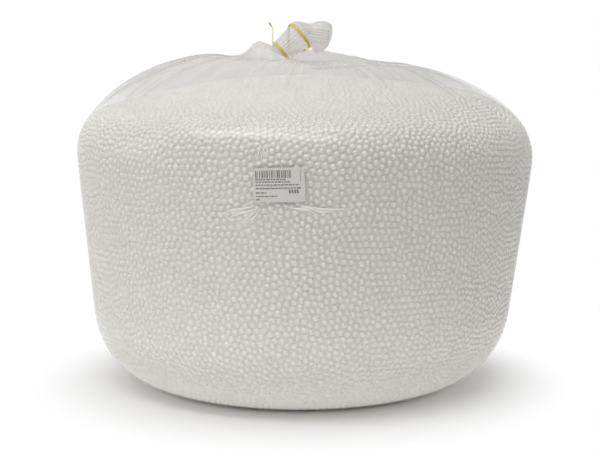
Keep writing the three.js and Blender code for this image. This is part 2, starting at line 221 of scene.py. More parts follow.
# Folds that the label draws into the film, each from and to a place across and up from the label's middle.
LABEL_FOLDS = (
    ((-0.0165, -0.0146), (-0.0460, -0.0232)),
    ((-0.0160, -0.0168), (-0.0400, -0.0262)),
    ((-0.0150, -0.0190), (-0.0330, -0.0300)),
    ((-0.0135, -0.0182), (-0.0225, -0.0268)),
    ((0.0080, -0.0150), (0.0300, -0.0212)),
    ((0.0110, -0.0146), (0.0540, -0.0182)),
    ((0.0150, -0.0165), (0.0400, -0.0190)),
    ((-0.0150, 0.0290), (-0.0152, 0.0175)),
    ((-0.0120, 0.0300), (-0.0124, 0.0165)),
    ((-0.0090, 0.0290), (-0.0096, 0.0180)),
)
FOLD_WIDTH = 0.0024
FOLD_HEIGHT = 0.0010
FOLD_SECTION = ((-0.5, -0.15), (0, -0.3), (0.5, -0.15), (0.28, 0.6), (0.05, 1), (-0.22, 0.6))
FOLD_BEND = 0.0008
FOLD_TAPER = 0.7
# Haze of the label's folds, which whitens them: partly folded film, partly a painted highlight along each
# fold.
FOLD_HAZE_AND_HIGHLIGHT = 0.75

# Light and camera, as the photograph has them.
AMBIENT = 0.22
LAMPS = (  # name, place, target, size and power in watts
    ("main", (-0.4, -0.85, 1.5), (0, 0, 0.15), (1.7, 0.3), 9.3),
    ("top", (0, -0.35, 1.6), (0, 0, 0.2), (1.0, 0.22), 2.9),
    ("left", (-1.5, -0.3, 0.5), (0, 0, 0.15), (0.8, 0.8), 2.2),
    ("bounce", (0, -0.05, 0.003), (0, -0.05, 1), (0.64, 0.64), 0.49),
)
FLOOR_HALF = 6
FLOOR_FADE = (0.13, 0.25)  # distances from the middle between which the floor turns plain white
CAMERA_PLACE = (0, -0.9225, 0.2232)
CAMERA_PITCH = 0.091
FOCAL_PIXELS = 998.9
IMAGE_WIDTH = 600
SENSOR = 36


def lerp(a, b, t):
    return a + (b - a) * t


def smoothstep(x, low, high):
    t = np.clip((x - low) / (high - low), 0, 1)
    return t * t * (3 - 2 * t)


def wrapped(angle):
    """An angle brought to the range from -pi to pi."""
    return (angle + math.pi) % (2 * math.pi) - math.pi


def bezier(points, t):
    """A point on a curve with any number of control points."""
    points = [np.asarray(p, float) for p in points]
    while len(points) > 1:
        points = [lerp(a, b, t) for a, b in zip(points, points[1:])]
    return points[0]


# Shape of the body

class Profile:
    """A meridian through radii and heights, read by the distance along it from the middle of the foot."""

    def __init__(self, radius, height):
        self.radius = np.asarray(radius, float)
        self.height = np.asarray(height, float)
        steps = np.hypot(np.diff(self.radius), np.diff(self.height))
        self.along = np.concatenate([[0], np.cumsum(steps)])
        self.length = self.along[-1]
        self.slope_r = np.gradient(self.radius, self.along)
        self.slope_z = np.gradient(self.height, self.along)
        growth = steps[1:-1] / ((self.radius[1:-2] + self.radius[2:-1]) / 2)
        spread = self.radius[1] * np.exp(np.concatenate([[0], np.cumsum(growth)]))
        self.spread = np.concatenate([[0], spread, [POLE_SPREAD * spread[-1]]])

    def at(self, s):
        return np.interp(s, self.along, self.radius), np.interp(s, self.along, self.height)

    def normal(self, s):
        """Outward normal, as its radial and upright parts."""
        slope_r = np.interp(s, self.along, self.slope_r)
        slope_z = np.interp(s, self.along, self.slope_z)
        size = np.hypot(slope_r, slope_z)
        return slope_z / size, -slope_r / size

    def flattened(self, angle, s):
        """The surface spread out on a plane without changing its angles, with the foot in the middle."""
        spread = np.interp(s, self.along, self.spread)
        return np.stack([spread * np.cos(angle), spread * np.sin(angle)], axis=-1)


def shoulder_curve(t):
    """Radius and height on the shoulder, from the wall's top at 0 to the crown at 1."""
    fullness = SHOULDER_FULLNESS
    radii = (BODY_RADIUS, BODY_RADIUS, lerp(CROWN_RADIUS, BODY_RADIUS, fullness), CROWN_RADIUS)
    heights = (WALL_TOP, lerp(WALL_TOP, CROWN_HEIGHT, fullness), CROWN_HEIGHT, CROWN_HEIGHT)
    weights = ((1 - t) ** 3, 3 * t * (1 - t) ** 2, 3 * t * t * (1 - t), t ** 3)
    radius = sum(w * r for w, r in zip(weights, radii))
    height = sum(w * h for w, h in zip(weights, heights))
    return radius, height


def eased(values, reach):
    """A run of values with its corners rounded off, its two ends kept."""
    weight = np.hanning(2 * reach + 1)
    padded = np.concatenate([
        2 * values[0] - values[reach:0:-1], values, 2 * values[-1] - values[-2:-reach - 2:-1],
    ])
    return np.convolve(padded, weight / weight.sum(), "valid")


def contact_curve():
    """The film's meridian from the middle of the foot to the rim of the heap, its corners rounded off."""
    fine, coarse = 60, 40
    turn = np.linspace(-math.pi / 2, 0, fine)
    heel_r = FOOT_RADIUS + (HEEL_RADIUS - FOOT_RADIUS) * np.cos(turn)
    heel_z = HEEL_HEIGHT * (1 + np.sin(turn))
    rise = np.linspace(0, 1, coarse)[1:]
    wall_r = lerp(HEEL_RADIUS, BODY_RADIUS, rise)
    wall_z = lerp(HEEL_HEIGHT, WALL_TOP, rise)
    shoulder_r, shoulder_z = shoulder_curve(np.linspace(0, HEAP_RIM, coarse)[1:])
    foot = np.linspace(0, FOOT_RADIUS, fine)[:-1]
    radius = np.concatenate([foot, heel_r, wall_r, shoulder_r])
    height = np.concatenate([0 * foot, heel_z, wall_z, shoulder_z])
    rough = Profile(radius, height)
    even = np.linspace(0, rough.length, MERIDIAN_STEPS)
    radius, height = rough.at(even)
    return eased(radius, CORNER_REACH), np.maximum(eased(height, CORNER_REACH), 0)


def heap_curve():
    """The bead heap's meridian: the film's own up to the rim, then a low mound to the middle."""
    radius, height = contact_curve()
    rim = np.array([radius[-1], height[-1]])
    course = rim - [radius[-2], height[-2]]
    course = course / np.linalg.norm(course)
    corners = (rim, rim + HEAP_BEND * course, (HEAP_FLAT, HEAP_TOP), (0, HEAP_TOP))
    steps = 120
    mound = np.array([bezier(corners, t) for t in np.linspace(0, 1, steps)[1:]])
    return np.concatenate([radius, mound[:, 0]]), np.concatenate([height, mound[:, 1]])


contact = Profile(*contact_curve())
heap = Profile(*heap_curve())


def heap_height(angle, along):
    """Height of the heap's surface, with its mound tilted but kept under the film."""
    radius, height = heap.at(along)
    over_rim = smoothstep(along, contact.length, contact.length + HEAP_TILT_REACH)
    tilted = height + over_rim * radius * np.cos(angle) * math.tan(HEAP_TILT)
    shoulder_r, shoulder_z = shoulder_curve(np.linspace(1, 0, SHOULDER_SAMPLES))
    film = np.interp(radius, shoulder_r, shoulder_z)
    return np.where(along > contact.length, np.minimum(tilted, film - over_rim * DOME_GAP), height)


def body_point(angle, radius, height):
    """A point of the body, with its dents, lean, sloping crown and sagging side."""
    swell = smoothstep(height, 0, WALL_TOP)
    crowning = smoothstep(height, WALL_TOP, CROWN_HEIGHT)
    waves = sum(share * np.sin(count * angle + phase) for share, count, phase in DENT_WAVES)
    dented = radius * (1 + DENT * swell * waves / BODY_RADIUS)
    x = dented * np.cos(angle)
    y = dented * np.sin(angle)
    forward = (np.hypot(y, TILT_BLEND) - TILT_BLEND - y) / 2
    tilt = swell * x * math.tan(TOP_TILT) + crowning * forward * math.tan(FRONT_TILT)
    sideways = smoothstep(radius, 0, CROWN_RADIUS) * np.maximum(0, np.cos(angle)) ** 4
    drop = tilt + crowning ** 3 * SIDE_SAG * sideways
    return np.stack([x + BODY_LEAN * height / WALL_TOP, y, height - drop], axis=-1)


def film_point(angle, along, depth=0):
    """A point of the film where it lies on the beads, sunk by a depth."""
    radius, height = contact.at(along)
    normal_r, normal_z = contact.normal(along)
    return body_point(angle, radius - depth * normal_r, height - depth * normal_z)


# Packing of the beads

def triangles(points, loop=None):
    """Triangles between points of the plane, turned to face out on the body. A loop of edges bounds them."""
    edges = [] if loop is None else list(zip(loop, np.roll(loop, -1)))
    inside = 0 if loop is None else 1
    made = delaunay_2d_cdt([Vector(p) for p in points.tolist()], edges, [], inside, 1e-9)
    source = np.array([first[0] for first in made[3]])
    return source[np.array(made[2])][:, ::-1]


class Packing:
    """Beads on the heap's surface, each with its angle, its distance along the meridian and its radius."""

    def __init__(self):
        self.scatter()
        for _ in range(SETTLE_ROUNDS):
            self.settle()

    def scatter(self):
        """Rings of beads, strewn about their even places."""
        count = round(heap.length / (BEAD_PITCH * math.sqrt(3) / 2))
        angles = []
        alongs = []
        for k in range(count):
            s = heap.length * (k + FIRST_RING) / count
            ring = max(1, round(2 * math.pi * heap.at(s)[0] / BEAD_PITCH))
            angles.append(chance.uniform(0, RING_TURN) + 2 * math.pi * np.arange(ring) / ring)
            alongs.append(np.full(ring, s))
        along = np.concatenate(alongs)
        room = np.maximum(heap.at(along)[0], BEAD_PITCH)
        stray = chance.normal(0, BEAD_STRAY * BEAD_PITCH, (2, len(along)))
        self.angle = np.concatenate(angles) + stray[0] / room
        self.along = np.clip(along + stray[1], BEAD_MARGIN, heap.length - BEAD_MARGIN)
        sizes = np.clip(chance.normal(0, 1, len(along)), -SIZE_LIMIT, SIZE_LIMIT)
        self.radius = BEAD_FILL * BEAD_PITCH / 2 * (1 + BEAD_SPREAD * sizes)

    def settle(self):
        """Push neighbours apart until they just touch."""
        faces = triangles(heap.flattened(self.angle, self.along))
        edges = np.sort(np.concatenate([faces[:, [0, 1]], faces[:, [1, 2]], faces[:, [2, 0]]]))
        a, b = np.unique(edges, axis=0).T
        rest = BEAD_ROOM * (self.radius[a] + self.radius[b]) / BEAD_FILL
        for _ in range(PUSH_STEPS):
            radius = np.maximum(heap.at(self.along)[0], BEAD_PITCH)
            across = (radius[a] + radius[b]) / 2 * wrapped(self.angle[b] - self.angle[a])
            up = self.along[b] - self.along[a]
            span = np.maximum(np.hypot(across, up), 1e-6)
            push = PUSH_SHARE * np.minimum(span - rest, 0) / span
            count = len(radius)
            move_u = np.bincount(a, push * across, count) - np.bincount(b, push * across, count)
            move_s = np.bincount(a, push * up, count) - np.bincount(b, push * up, count)
            free = radius > 2 * BEAD_PITCH
            self.angle = self.angle + free * move_u / radius
            self.along = np.clip(self.along + free * move_s, BEAD_MARGIN, heap.length - BEAD_MARGIN)

    def surface(self):
        """Where each bead meets the heap's surface, and the normal there."""
        radius, _ = heap.at(self.along)
        normal_r, normal_z = heap.normal(self.along)
        place = body_point(self.angle, radius, heap_height(self.angle, self.along))
        turned = normal_r * np.cos(self.angle), normal_r * np.sin(self.angle), normal_z
        return place, np.stack(turned, axis=-1)


# Meshes

def mesh_object(name, points, faces, smooth=True):
    mesh = bpy.data.meshes.new(name)
    points = np.ascontiguousarray(points, np.float32)
    faces = np.ascontiguousarray(faces, np.int32)
    mesh.vertices.add(len(points))
    mesh.vertices.foreach_set("co", points.ravel())
    mesh.loops.add(faces.size)
    mesh.loops.foreach_set("vertex_index", faces.ravel())
    mesh.polygons.add(len(faces))
    mesh.polygons.foreach_set("loop_start", np.arange(0, faces.size, faces.shape[1], dtype=np.int32))
    mesh.update(calc_edges=True)
    mesh.validate()
    if smooth:
        mesh.shade_smooth()
    piece = bpy.data.objects.new(name, mesh)
    bpy.context.scene.collection.objects.link(piece)
    return piece


def set_map(piece, angle, distance):
    """A flat round map of the piece, each point at its angle and at 0 to 1 from the middle."""
    flat = 0.5 + 0.49 * np.stack([distance * np.cos(angle), distance * np.sin(angle)], axis=-1)
    corners = np.zeros(len(piece.data.loops), np.int32)
    piece.data.loops.foreach_get("vertex_index", corners)
    layer = piece.data.uv_layers.new(name="OFBake")
    layer.data.foreach_set("uv", np.ascontiguousarray(flat[corners], np.float32).ravel())


def set_value(piece, name, values):
    """A number at each point of the piece, for its material to read."""
    piece.data.attributes.new(name, "FLOAT", "POINT").data.foreach_set("value", values.astype(np.float32))


def grid_faces(rings, columns, start=0):
    """Triangles of a grid of rings that close on themselves, facing out where the rings go up."""
    low = start + columns * np.arange(rings - 1)[:, None]
    a = (low + np.arange(columns)).ravel()
    b = (low + np.roll(np.arange(columns), -1)).ravel()
    return np.concatenate([
        np.stack([a, b, b + columns], axis=1),
        np.stack([a, b + columns, a + columns], axis=1),
    ])


def fan_faces(tip, first, columns, tip_above):
    """Triangles that close a ring at a tip."""
    a = first + np.arange(columns)
    b = first + np.roll(np.arange(columns), -1)
    ends = (a, b) if tip_above else (b, a)
    return np.stack([*ends, np.full(columns, tip)], axis=1)


def bead_ball():
    """Corners and faces of one round bead: two poles and two rings of eight, its first pole outwards."""
    sides = 8
    even = 2 * math.pi * np.arange(sides) / sides
    rings = []
    for polar, turn in ((math.radians(50), 0), (math.radians(100), math.pi / sides)):
        flat = math.sin(polar) * np.stack([np.cos(even + turn), np.sin(even + turn)], axis=-1)
        rings.append(np.column_stack([flat, np.full(sides, math.cos(polar))]))
    points = np.concatenate([[[0, 0, 1]], *rings, [[0, 0, -1]]])
    faces = np.concatenate([
        fan_faces(0, 1, sides, True),
        grid_faces(2, sides, 1)[:, ::-1],
        fan_faces(1 + 2 * sides, 1 + sides, sides, False),
    ])
    return points, faces


def bead_piece(name, packing, chosen):
    """One mesh of all chosen beads, each turned by chance about its own outward pole."""
    surface, normal = packing.surface()
    radius = packing.radius[chosen]
    normal = normal[chosen]
    centre = surface[chosen] - normal * (radius + FILM_GAP)[:, None]
    helper = np.where(np.abs(normal[:, 2:]) < 0.9, [[0, 0, 1]], [[1, 0, 0]])
    side = np.cross(helper, normal)
    side /= np.linalg.norm(side, axis=1, keepdims=True)
    front = np.cross(normal, side)
    turn = chance.uniform(0, 2 * math.pi, len(radius))[:, None]
    turned_side = side * np.cos(turn) + front * np.sin(turn)
    turned_front = front * np.cos(turn) - side * np.sin(turn)
    ball, ball_faces = bead_ball()
    axes = np.stack([turned_side, turned_front, normal], axis=1)
    points = centre[:, None, :] + radius[:, None, None] * np.einsum("ki,nij->nkj", ball, axes)
    faces = ball_faces[None] + len(ball) * np.arange(len(radius))[:, None, None]
    piece = mesh_object(name, points.reshape(-1, 3), faces.reshape(-1, 3))
    set_value(piece, "tone", np.repeat(chance.uniform(0, 1, len(radius)), len(ball)))
    patch = BEAD_PATCH * BEAD_PITCH * ball[:, 0] / heap.length
    distance = packing.along[chosen, None] / heap.length + patch
    angle = packing.angle[chosen, None] + BEAD_PATCH * BEAD_PITCH * ball[:, 1] / packing.along[chosen, None]
    set_map(piece, angle.ravel(), distance.ravel())
    return piece


def core_piece():
    """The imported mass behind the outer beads, a closed body."""
    rings, sides = 60, 120
    along = heap.length * np.linspace(0.01, 0.99, rings)
    angle, along = np.meshgrid(2 * math.pi * np.arange(sides) / sides, along)
    radius, _ = heap.at(along)
    normal_r, normal_z = heap.normal(along)
    height = heap_height(angle, along) - CORE_DEPTH * normal_z
    points = body_point(angle, radius - CORE_DEPTH * normal_r, height).reshape(-1, 3)
    tips = [body_point(0, 0, CORE_DEPTH), body_point(0, 0, HEAP_TOP - CORE_DEPTH)]
    last = len(points)
    faces = np.concatenate([
        fan_faces(last, 0, sides, False),
        grid_faces(rings, sides),
        fan_faces(last + 1, last - sides, sides, True),
    ])
    return mesh_object("packed_core", np.concatenate([points, tips]), faces)


# Film

def ring_angles():
    even = 2 * math.pi * np.arange(COLUMNS) / COLUMNS
    return even + PLEAT_WANDER * np.sin(3 * even + 0.7)


def pleat_chance():
    """A repeatable number from 0 to 1 for each column's pleat."""
    pleat = np.arange(COLUMNS) * PLEATS // COLUMNS
    spread = np.sin(12.9898 * (pleat + 1)) * 43758.5453
    return spread - np.floor(spread)


def pleat_share():
    """How deep each column lies in its pleat: 0 on the crest and up to 1 in the deepest folds."""
    even = 2 * math.pi * np.arange(COLUMNS) / COLUMNS
    return lerp(PLEAT_LEAST, 1, pleat_chance()) * (0.5 - 0.5 * np.cos(PLEATS * even))


class Creases:
    """Sharp folds of the film that run down from the gathers. Each is one column of the mesh, raised,
    with its neighbours drawn in close beside it."""

    def __init__(self):
        spacing = COLUMNS / CREASES
        place = np.arange(CREASES) + chance.uniform(0.25, 0.75, CREASES)
        self.column = np.round(place * spacing).astype(int)
        self.slant = chance.normal(0, CREASE_SLANT, CREASES) * 2 * math.pi / CREASES
        self.reach = chance.uniform(*CREASE_REACH, CREASES)
        self.height = CREASE_HEIGHT * chance.uniform(0.3, 1, CREASES) ** 1.5
        self.width = CREASE_WIDTH * chance.uniform(0.7, 1.3, CREASES)

    def angles(self, t, radius):
        """Angle of each column on a ring of the shoulder, at share t of the way to the crown."""
        even = ring_angles()
        place = even[self.column] + self.slant * (1 - t)
        shift = np.interp(np.arange(COLUMNS), self.column, place - even[self.column], period=COLUMNS)
        angle = even + shift
        width = self.width * (0.3 + 0.7 * smoothstep(t, self.reach, self.reach + PINCH_FADE)) / radius
        angle[self.column - 1] = place - width
        angle[(self.column + 1) % COLUMNS] = place + width
        return np.sort(angle)

    def lift(self, t):
        """How far each column stands up on that ring."""
        lift = np.zeros(COLUMNS)
        lift[self.column] = self.height * smoothstep(t, self.reach, self.reach + CREASE_FADE)
        return lift


def leaning_axes(lean):
    """Axes of a neck section that leans from upright towards +X, and back by the neck's own recline."""
    level = math.cos(NECK_RECLINE)
    along = np.array([level * math.sin(lean), math.sin(NECK_RECLINE), level * math.cos(lean)])
    side = np.array([math.cos(lean), 0, -math.sin(lean)])
    return along, side, np.cross(along, side)


def leaning_ring(centre, lean, angle, radius):
    """A ring round a centre in a leaning plane. Each point has its own radius."""
    _, side, back = leaning_axes(lean)
    return centre + np.outer(radius * np.cos(angle), side) + np.outer(radius * np.sin(angle), back)


NECK_ALONG, NECK_SIDE, NECK_BACK = leaning_axes(NECK_LEAN)
LOWER_TURN = np.array([NECK_OFFSET, 0, CROWN_HEIGHT + NECK_RISE])
BAND_START = LOWER_TURN - BAND_OVERHANG * NECK_ALONG
BAND_END = LOWER_TURN + (TURN_GAP + BAND_OVERHANG) * NECK_ALONG
BAND_SLOPE = (UPPER_RADIUS - NECK_RADIUS) / TURN_GAP
CROWN_CENTRE = np.array([BODY_LEAN * CROWN_HEIGHT / WALL_TOP, 0, CROWN_HEIGHT])
KNEE = BAND_END + TUFT_KNEE * TUFT_LENGTH * NECK_ALONG
TUFT_SPINE = (BAND_END, KNEE, KNEE + (1 - TUFT_KNEE) * TUFT_LENGTH * leaning_axes(TUFT_LEAN)[0])


def shoulder_ring(t, creases):
    radius, height = shoulder_curve(t)
    angle = creases.angles(t, radius)
    step = 1e-4
    ahead = shoulder_curve(t + step)
    behind = shoulder_curve(t - step)
    slope_r, slope_z = ahead[0] - behind[0], ahead[1] - behind[1]
    size = math.hypot(slope_r, slope_z)
    free = (t - HEAP_RIM) / (1 - HEAP_RIM)
    depth = CROWN_PLEAT * free ** (1 + 2 * pleat_chance()) * pleat_share() - creases.lift(t)
    return body_point(angle, radius - depth * slope_z / size, height + depth * slope_r / size)


def gather_ring(t, crown, neck):
    """Each line of the film runs in from the crown, swells beside the tie and bends up into the neck."""
    angle = ring_angles()
    outward = neck - BAND_START
    outward /= np.linalg.norm(outward, axis=1, keepdims=True)
    under = 0.5 + 0.5 * np.cos(angle)
    behind = np.maximum(0, np.sin(angle + LIFT_TURN))
    rise = lerp(crown, CROWN_CENTRE, GATHER_REACH)
    rise[:, 2] += GATHER_LIFT * behind ** 4 - GATHER_DIP * (1 - under) ** 2
    turn = neck - GATHER_TURN * NECK_ALONG + lerp(FLANK_SWELL, UNDER_SWELL, under)[:, None] * outward
    return bezier((crown, rise, turn, neck), t)


def band_radius(along):
    return NECK_RADIUS + BAND_SLOPE * along


def band_ring(along):
    centre = LOWER_TURN + along * NECK_ALONG
    return leaning_ring(centre, NECK_LEAN, ring_angles(), band_radius(along) - NECK_PLEAT * pleat_share())


def tuft_ring(t):
    angle = ring_angles()
    bulge = math.sin(math.pi * t)
    start = band_radius(TURN_GAP + BAND_OVERHANG)
    full = lerp(start, TUFT_RADIUS, float(smoothstep(t, 0, TUFT_OPENING))) - TUFT_WAIST * bulge ** 2
    closing = t ** MOUTH_BEND
    envelope = full * math.sqrt(1 - closing) + MOUTH_RADIUS * closing
    droop = TUFT_DROOP * bulge * np.maximum(0, np.cos(angle)) ** 3
    dip = TUFT_DIP * math.exp(-((t - TUFT_DIP_PLACE) / TUFT_DIP_WIDTH) ** 2) * np.maximum(0, -np.cos(angle))
    radius = envelope + droop - dip - lerp(NECK_PLEAT, TUFT_PLEAT, math.sqrt(t)) * pleat_share()
    return leaning_ring(bezier(TUFT_SPINE, t), lerp(NECK_LEAN, TUFT_LEAN, t), angle, radius)


def slackness(angle, rise, start):
    """How free the film hangs, from 0 to 1, at a distance above the rim. The clear side comes free later."""
    clear = np.maximum(0, np.cos(angle - CLEAR_ANGLE)) ** 2
    return smoothstep(rise, start, lerp(*SLACK_END, clear))


def film_haze(angle, rise):
    """Haze of the film at a distance along it above the heap's rim, or below it."""
    wall = WALL_HAZE + SIDE_HAZE * np.cos(angle) ** 6
    return lerp(wall, DOME_HAZE, slackness(angle, rise, SLACK_START))


class UpperFilm:
    """Rings of the free film from the rim of the heap to the mouth, and the haze on each."""

    def __init__(self):
        creases = Creases()
        self.rim_angle = creases.angles(HEAP_RIM, shoulder_curve(HEAP_RIM)[0])
        self.rings, self.haze, self.ply = [], [], []
        shares = lerp(HEAP_RIM, 1, np.linspace(0, 1, SHOULDER_RINGS + 1))
        for t, rise in zip(shares, Profile(*shoulder_curve(shares)).along):
            free = lerp(film_haze(ring_angles(), rise), CROWN_HAZE, smoothstep(t, CROWN_START, 1))
            # Extra haze on the creases whitens them: partly folded film, partly a painted highlight.
            crease = CREASE_HAZE_AND_HIGHLIGHT * creases.lift(t) / CREASE_HEIGHT
            ply = PLY_HAZE * slackness(ring_angles(), rise, PLY_START)
            self.add(shoulder_ring(t, creases), free + crease, ply)
        crown, crown_haze = self.rings[-1], self.haze[-1]
        neck = band_ring(-BAND_OVERHANG)
        for t in np.arange(1, GATHER_RINGS + 1) / GATHER_RINGS:
            cover = lerp(crown_haze, NECK_HAZE, smoothstep(t, 0, NECK_START))
            self.add(gather_ring(t, crown, neck), cover, PLY_HAZE * (1 - smoothstep(t, *PLY_END)))
        for t in np.arange(1, BAND_RINGS + 1) / BAND_RINGS:
            self.add(band_ring(lerp(-BAND_OVERHANG, TURN_GAP + BAND_OVERHANG, t)), NECK_HAZE, 0)
        for t in np.arange(1, TUFT_RINGS + 1) / TUFT_RINGS:
            self.add(tuft_ring(t), lerp(NECK_HAZE, TUFT_HAZE, smoothstep(t, 0, TUFT_START)), 0)

    def add(self, ring, haze, ply):
        self.rings.append(ring)
        self.haze.append(haze + np.zeros(COLUMNS))
        self.ply.append(ply + np.zeros(COLUMNS))


def ply_piece(upper, number):
    """A further ply under the free film, by its number below it."""
    chosen = slice(*PLY_RINGS)
    points = np.concatenate(upper.rings[chosen])
    outward = points - (0, 0, WALL_TOP - BODY_RADIUS / 2)
    points = points - number * PLY_GAP * outward / np.linalg.norm(outward, axis=1, keepdims=True)
    count = PLY_RINGS[1] - PLY_RINGS[0]
    piece = mesh_object(f"film_ply_{number}", points, grid_faces(count, COLUMNS))
    set_value(piece, "haze", np.concatenate(upper.ply[chosen]))
    set_map(piece, np.tile(upper.rim_angle, count), np.repeat(np.linspace(1, 0.2, count), COLUMNS))
    return piece


def heel_piece():
    """The ply round the heel, just outside the film."""
    rings = 24
    along = np.repeat(np.linspace(*HEEL_PLY, rings), COLUMNS)
    angle = np.tile(2 * math.pi * np.arange(COLUMNS) / COLUMNS, rings)
    piece = mesh_object("film_heel", film_point(angle, along, -PLY_GAP / 2), grid_faces(rings, COLUMNS))
    end = HEEL_PLY[1]
    set_value(piece, "haze", HEEL_HAZE * (1 - smoothstep(along, end - HEEL_PLY_FADE, end)))
    set_map(piece, angle, along / end)
    return piece


def capped(faces, dips):
    """Faces that meet at corners and at one dip in the middle of each old face, folded from dip to dip."""
    middle = {}
    for face, dip in zip(faces.tolist(), dips.tolist()):
        for a, b in zip(face, face[1:] + face[:1]):
            middle[a, b] = dip
    caps = []
    for (a, b), dip in middle.items():
        caps.append((a, middle.get((b, a), b), dip))
    return np.array(caps)


def film_piece(packing, upper):
    """The sack in one skin: a peak on each bead it touches and a dip in each gap, then the free rings."""
    rings = upper.rings
    rim_angle = upper.rim_angle
    touching = packing.along < contact.length - RIM_MARGIN * BEAD_PITCH
    angle = packing.angle[touching]
    along = packing.along[touching]
    peaks = len(angle)
    all_angle = np.concatenate([angle, rim_angle])
    all_along = np.concatenate([along, np.full(COLUMNS, contact.length)])
    loop = peaks + np.arange(COLUMNS)
    faces = triangles(contact.flattened(all_angle, all_along), loop.tolist())
    first = all_angle[faces[:, :1]]
    dip_angle = (first + wrapped(all_angle[faces] - first)).mean(axis=1)
    dip_along = all_along[faces].mean(axis=1)
    stands = smoothstep(dip_along, FOOT_RADIUS, FOOT_RADIUS + FOOT_CALM)
    calm = 1 - smoothstep(dip_along, contact.length - RIM_CALM, contact.length)
    depth = DIMPLE * chance.uniform(*DIMPLE_SPREAD, len(faces)) * stands * calm
    rim = peaks + len(faces)
    faces = np.where(faces < peaks, faces, faces + len(faces))
    caps = capped(faces, peaks + np.arange(len(faces)))
    points = [film_point(angle, along), film_point(dip_angle, dip_along, depth), *rings]
    free = grid_faces(len(rings), COLUMNS, rim)
    piece = mesh_object("film_sack", np.concatenate(points), np.concatenate([caps, free]))
    gathered = np.repeat(np.arange(len(rings) - 1) >= GATHERED_RING, COLUMNS)
    slots = np.concatenate([np.zeros(len(caps)), gathered, gathered]).astype(np.int32)
    piece.data.polygons.foreach_set("material_index", slots)
    shares = np.repeat(lerp(FILM_MAP, 1, np.arange(len(rings)) / (len(rings) - 1)), COLUMNS)
    low_angle = np.concatenate([angle, dip_angle])
    low_along = np.concatenate([along, dip_along])
    distance = np.concatenate([FILM_MAP * low_along / contact.length, shares])
    set_map(piece, np.concatenate([low_angle, np.tile(rim_angle, len(rings))]), distance)
    near_foot = 1 - smoothstep(low_along, *HEEL_REACH)
    low_haze = np.maximum(film_haze(low_angle, low_along - contact.length), HEEL_HAZE * near_foot)
    set_value(piece, "haze", np.concatenate([low_haze, *upper.haze]))
    return piece


def label_along():
    """Distance along the meridian to the label's middle."""
    return float(np.interp(LABEL_MIDDLE, contact.height, contact.along))


def fold_piece():
    """Soft folds of the film round the label: low tapered swells that lie on it."""
    steps = 24
    sides = len(FOLD_SECTION)
    points, faces = [], []
    for start, end in LABEL_FOLDS:
        t = np.linspace(0, 1, steps)
        taper = np.sin(math.pi * np.clip(t, 0.01, 0.99)) ** FOLD_TAPER
        course = np.subtract(end, start)
        course = course / np.linalg.norm(course)
        bend = FOLD_BEND * np.sin(2 * math.pi * (t + chance.uniform()))
        across = lerp(start[0], end[0], t) - bend * course[1]
        up = lerp(start[1], end[1], t) + bend * course[0]
        ring = []
        for aside, height in FOLD_SECTION:
            u = across - aside * FOLD_WIDTH * taper * course[1]
            v = up + aside * FOLD_WIDTH * taper * course[0]
            angle = LABEL_ANGLE + u / BODY_RADIUS
            ring.append(film_point(angle, label_along() + v, -height * FOLD_HEIGHT * taper))
        base = sum(len(p) for p in points)
        tips = [np.mean([side[k] for side in ring], axis=0) for k in (0, -1)]
        points.append(np.concatenate([np.stack(ring, axis=1).reshape(-1, 3), tips]))
        last = base + sides * steps
        faces.append(base + grid_faces(steps, sides))
        faces.append(fan_faces(last, base, sides, False))
        faces.append(fan_faces(last + 1, last - sides, sides, True))
    points = np.concatenate(points)
    piece = mesh_object("film_folds", points, np.concatenate(faces))
    # Their high haze whitens the folds: partly folded film, partly a painted highlight.
    set_value(piece, "haze", np.full(len(points), FOLD_HAZE_AND_HIGHLIGHT))
    return piece


# Tie

def on_band(angle, along):
    """A point on the tie's path, by its angle from the leaning side and its place along the neck."""
    radius = band_radius(along) + TIE_CLEARANCE + (TIE_THICKNESS + BAND_SLOPE * TIE_WIDTH) / 2
    outward = math.cos(angle) * NECK_SIDE + math.sin(angle) * NECK_BACK
    return LOWER_TURN + along * NECK_ALONG + radius * outward


def tie_path():
    """Tail, lower turn, crossing behind the neck, upper turn and the end that is bent back, all smoothed."""
    turns = []
    for angle in np.linspace(-math.pi, 2 * math.pi, 73):
        turns.append(on_band(angle, TURN_GAP * float(smoothstep(angle, 0, math.pi))))
    tail = [
        turns[0] + (-0.6 * TAIL_TIP, 0, TAIL_RISE + TAIL_TIP),
        turns[0] + (0.1 * TAIL_TIP, 0, TAIL_RISE),
        turns[0] + (0, 0, TAIL_RISE / 2),
    ]
    hook = []
    for t in (0.35, 0.7, 1):
        angle = 2 * math.pi + 0.25 * math.sin(math.pi * t) - 0.3 * t * t
        hook.append(on_band(angle, TURN_GAP - HOOK_LENGTH * t))
    path = np.array(tail + turns + hook)
    for _ in range(2):
        near = lerp(path[:-1], path[1:], 0.25)
        far = lerp(path[:-1], path[1:], 0.75)
        path = np.concatenate([path[:1], np.stack([near, far], axis=1).reshape(-1, 3), path[-1:]])
    return path


